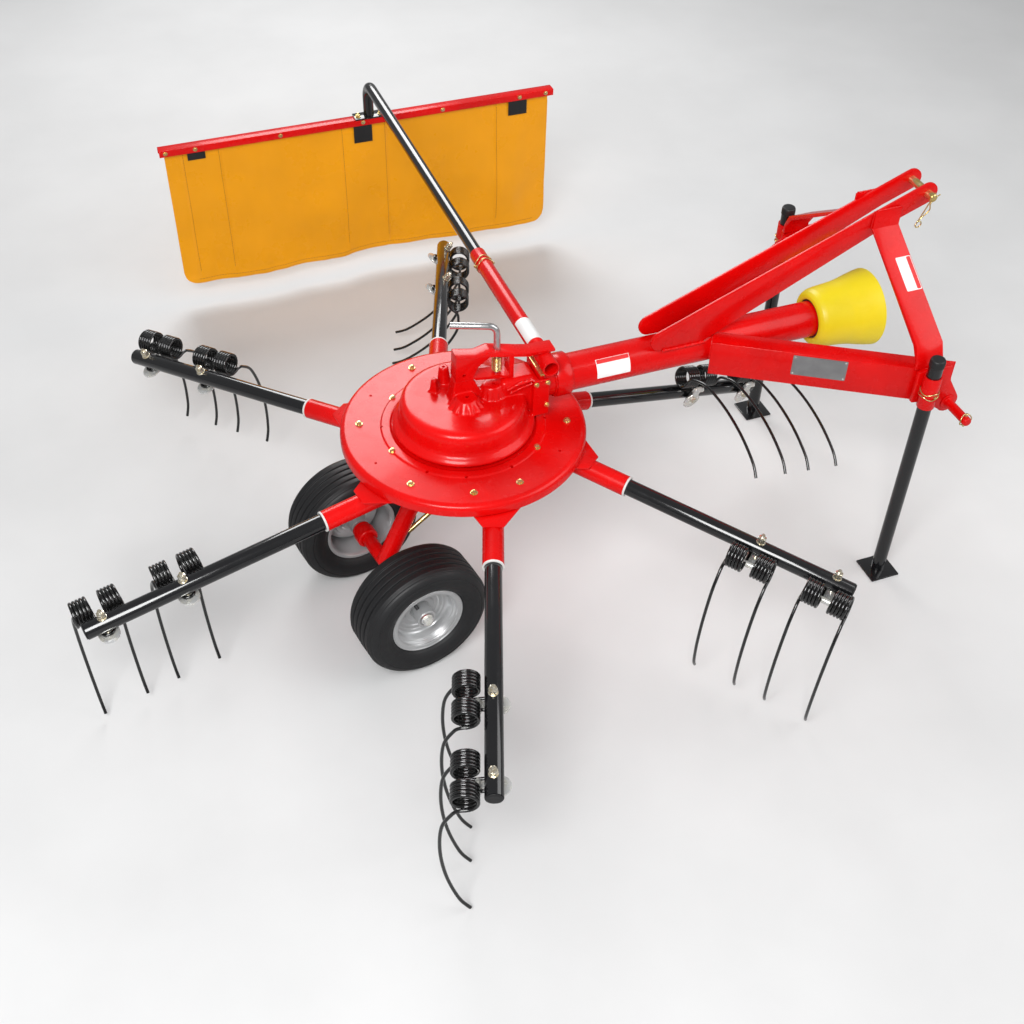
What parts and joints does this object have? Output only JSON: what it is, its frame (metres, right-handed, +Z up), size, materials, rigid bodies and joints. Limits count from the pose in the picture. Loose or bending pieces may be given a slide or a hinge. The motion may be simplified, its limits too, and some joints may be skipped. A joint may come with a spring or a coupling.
{
  "type": "rotary hay rake",
  "caption": "Mounted rotary hay rake: a disc rotor with drooping arms of sprung double tines, a swath curtain on a boom, a three-point headstock, castor wheels and parking stands.",
  "frame": {"origin": "middle of the part's base on the floor, as it stands parked", "axes": "+X forward to the tractor hitch, +Y to the left, where the curtain hangs, +Z up"},
  "size_m": [2.6591, 2.9866, 1.1855],
  "materials": {
    "red_paint": "glossy red paint",
    "black_paint": "semi-gloss black paint",
    "spring_steel": "black coated spring wire",
    "tyre_rubber": "matt black rubber",
    "silver_paint": "silver paint",
    "guard_plastic": "moulded yellow plastic",
    "curtain_canvas": "orange-yellow coated canvas",
    "bare_steel": "machined steel",
    "zinc_plate": "yellow zinc plating"
  },
  "bodies": {
    "main_frame": {"column": "bare_steel", "gear_head": "red_paint", "crank_bracket": "red_paint", "height_crank": "bare_steel", "drawbar": "red_paint", "drawbar_flange": "red_paint", "fork_arm_left": "red_paint", "fork_arm_right": "red_paint", "top_rail_left": "red_paint", "top_rail_right": "red_paint", "mast_strap_left": "red_paint", "mast_strap_right": "red_paint", "hitch_plate_left": "red_paint", "hitch_plate_right": "red_paint", "stand_sleeve_left": "red_paint", "stand_sleeve_right": "red_paint", "lower_pin_left": "bare_steel", "lower_pin_right": "bare_steel", "top_link_pin": "bare_steel", "shaft_guard": "guard_plastic", "boom_sleeve": "red_paint"},
    "rotor": {"rotor_disc": "red_paint", "rotor_housing": "red_paint", "arm_socket_1": "red_paint", "arm_socket_2": "red_paint", "arm_socket_3": "red_paint", "arm_socket_4": "red_paint", "arm_socket_5": "red_paint", "arm_socket_6": "red_paint", "tine_arm_1": "black_paint", "tine_arm_2": "black_paint", "tine_arm_3": "black_paint", "tine_arm_4": "black_paint", "tine_arm_5": "black_paint", "tine_arm_6": "black_paint", "double_tine_1_outer": "spring_steel", "double_tine_1_inner": "spring_steel", "double_tine_2_outer": "spring_steel", "double_tine_2_inner": "spring_steel", "double_tine_3_outer": "spring_steel", "double_tine_3_inner": "spring_steel", "double_tine_4_outer": "spring_steel", "double_tine_4_inner": "spring_steel", "double_tine_5_outer": "spring_steel", "double_tine_5_inner": "spring_steel", "double_tine_6_outer": "spring_steel", "double_tine_6_inner": "spring_steel"},
    "castor": {"castor_frame": "red_paint", "castor_link": "zinc_plate"},
    "wheel_left": {"tyre_left": "tyre_rubber", "rim_left": "silver_paint"},
    "wheel_right": {"tyre_right": "tyre_rubber", "rim_right": "silver_paint"},
    "stand_left": {"parking_stand_left": "black_paint"},
    "stand_right": {"parking_stand_right": "black_paint"},
    "curtain_set": {"curtain_boom": "black_paint", "curtain_bar": "red_paint", "curtain": "curtain_canvas"},
    "drive": {"drive_stub": "bare_steel"}
  },
  "joints": [
    {"name": "rotor_spin", "type": "hinge", "parent": "main_frame", "child": "rotor", "pos_m": [-0.131, -0.333, 0.6], "axis": [0, 0, 1], "continuous": true},
    {"name": "drive_spin", "type": "hinge", "parent": "main_frame", "child": "drive", "pos_m": [1.069, -0.333, 0.744], "axis": [1, 0, 0], "continuous": true},
    {"name": "castor_swivel", "type": "hinge", "parent": "main_frame", "child": "castor", "pos_m": [-0.131, -0.333, 0.42], "axis": [0, 0, 1], "range_deg": [-55, 35]},
    {"name": "wheel_left_spin", "type": "hinge", "parent": "castor", "child": "wheel_left", "pos_m": [-0.44538, -0.1625, 0.2], "axis": [-0.1736, 0.9848, 0], "continuous": true},
    {"name": "wheel_right_spin", "type": "hinge", "parent": "castor", "child": "wheel_right", "pos_m": [-0.36811, -0.60074, 0.2], "axis": [-0.1736, 0.9848, 0], "continuous": true},
    {"name": "stand_left_slide", "type": "slide", "parent": "main_frame", "child": "stand_left", "axis": [0, 0, 1], "range_m": [0, 0.3]},
    {"name": "stand_right_slide", "type": "slide", "parent": "main_frame", "child": "stand_right", "axis": [0, 0, 1], "range_m": [0, 0.3]},
    {"name": "curtain_slide", "type": "slide", "parent": "main_frame", "child": "curtain_set", "axis": [0, 1, 0], "range_m": [-0.4, 0.25]}
  ],
  "couplings": [
    {"joint": "drive_spin", "follows": "rotor_spin", "ratio": 5}
  ]
}
